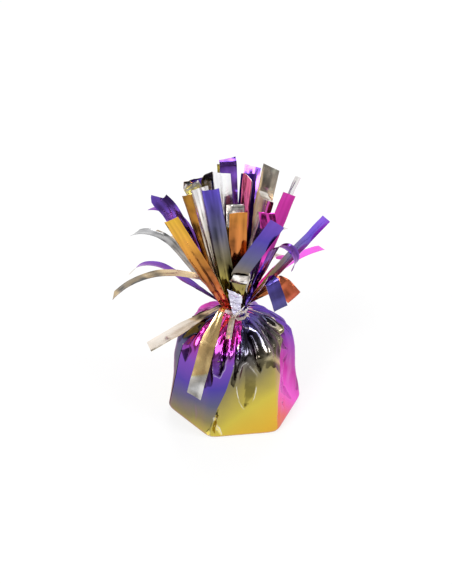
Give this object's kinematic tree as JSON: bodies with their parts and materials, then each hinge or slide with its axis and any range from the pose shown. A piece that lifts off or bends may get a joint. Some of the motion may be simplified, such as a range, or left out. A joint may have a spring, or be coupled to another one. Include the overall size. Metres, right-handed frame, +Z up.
{
  "type": "balloon weight",
  "caption": "Hexagonal party balloon weight wrapped in rainbow metallised film, gathered and tied at the neck, with cut film strips that spray up and arch out above it.",
  "frame": {"origin": "centre of the flat base, on the surface that the weight stands on", "axes": "+Z up through the neck; -Y towards the viewer of the picture; +X to the viewer's right"},
  "size_m": [0.107, 0.0992, 0.1321],
  "materials": {
    "wrap_film": "metallised film, rainbow gradient",
    "fringe_film": "metallised film, rainbow gradient one side, silver the other",
    "tie_film": "pale silver film ribbon",
    "cup_plastic": "moulded",
    "cast_plaster": "cast, rough",
    "base_board": "grey board"
  },
  "bodies": {
    "weight": {"back_bowed_strip_1": "fringe_film", "back_bowed_strip_2": "fringe_film", "back_bowed_strip_3": "fringe_film", "back_bowed_strip_4": "fringe_film", "back_bowed_strip_5": "fringe_film", "back_left_drooping_strip": "fringe_film", "back_left_strip": "fringe_film", "back_middle_strip": "fringe_film", "back_right_strip": "fringe_film", "ballast_fill": "cast_plaster", "base_card": "base_board", "core_front_strip": "fringe_film", "core_left_strip": "fringe_film", "core_right_strip": "fringe_film", "cup_shell": "cup_plastic", "foil_wrap": "wrap_film", "front_centre_strip": "fringe_film", "front_inner_left_strip": "fringe_film", "front_inner_right_strip": "fringe_film", "front_left_strip": "fringe_film", "front_left_tall_strip": "fringe_film", "front_right_strip": "fringe_film", "front_tall_strip": "fringe_film", "inner_back_strip": "fringe_film", "inner_left_strip": "fringe_film", "inner_right_back_strip": "fringe_film", "inner_right_strip": "fringe_film", "left_back_tall_strip": "fringe_film", "left_middle_arch_strip": "fringe_film", "left_tall_strip": "fringe_film", "left_upper_arch_strip": "fringe_film", "neck_tie": "tie_film", "right_back_strip": "fringe_film", "right_curled_strip": "fringe_film", "right_upper_strip": "fringe_film", "right_wide_strip": "fringe_film"},
    "left_arch": {"left_arch_strip": "fringe_film"},
    "left_low": {"left_low_strip": "fringe_film"},
    "front_hanging": {"front_hanging_strip": "fringe_film"},
    "right_long": {"right_long_strip": "fringe_film"},
    "right_bowed": {"right_bowed_strip": "fringe_film"},
    "right_folded": {"right_folded_strip": "fringe_film"},
    "right_short": {"right_short_strip": "fringe_film"},
    "left_drooping": {"left_drooping_strip": "fringe_film"}
  },
  "joints": [
    {"name": "left_arch_swing", "type": "hinge", "parent": "weight", "child": "left_arch", "pos_m": [-0.00648, -0.00236, 0.06055], "axis": [0.2079, -0.9781, 0], "range_deg": [-3, 12], "stiffness_Nm_per_rad": 0.005},
    {"name": "left_low_swing", "type": "hinge", "parent": "weight", "child": "left_low", "pos_m": [-0.00551, -0.00415, 0.06055], "axis": [0.4226, -0.9063, 0], "range_deg": [-25, 15], "stiffness_Nm_per_rad": 0.005},
    {"name": "front_hanging_swing", "type": "hinge", "parent": "weight", "child": "front_hanging", "pos_m": [-0.00225, -0.00652, 0.06055], "axis": [0.8387, -0.5446, 0], "range_deg": [-30, 0], "stiffness_Nm_per_rad": 0.005},
    {"name": "right_long_swing", "type": "hinge", "parent": "weight", "child": "right_long", "pos_m": [0.0067, 0.00167, 0.06055], "axis": [-0.1736, 0.9848, 0], "range_deg": [-12, 3], "stiffness_Nm_per_rad": 0.005},
    {"name": "right_bowed_swing", "type": "hinge", "parent": "weight", "child": "right_bowed", "pos_m": [0.00585, 0.00366, 0.06055], "axis": [-0.4695, 0.8829, 0], "range_deg": [-3, 40], "stiffness_Nm_per_rad": 0.005},
    {"name": "right_folded_swing", "type": "hinge", "parent": "weight", "child": "right_folded", "pos_m": [0.0062, -0.00302, 0.06055], "axis": [0.5299, 0.848, 0], "range_deg": [-2, 28], "stiffness_Nm_per_rad": 0.005},
    {"name": "right_short_swing", "type": "hinge", "parent": "weight", "child": "right_short", "pos_m": [0.00686, -0.00072, 0.06055], "axis": [0.1392, 0.9903, 0], "range_deg": [-1, 28], "stiffness_Nm_per_rad": 0.005},
    {"name": "left_drooping_swing", "type": "hinge", "parent": "weight", "child": "left_drooping", "pos_m": [-0.0069, -0.00012, 0.06055], "axis": [-0.1219, -0.9925, 0], "range_deg": [-5, 40], "stiffness_Nm_per_rad": 0.005}
  ]
}
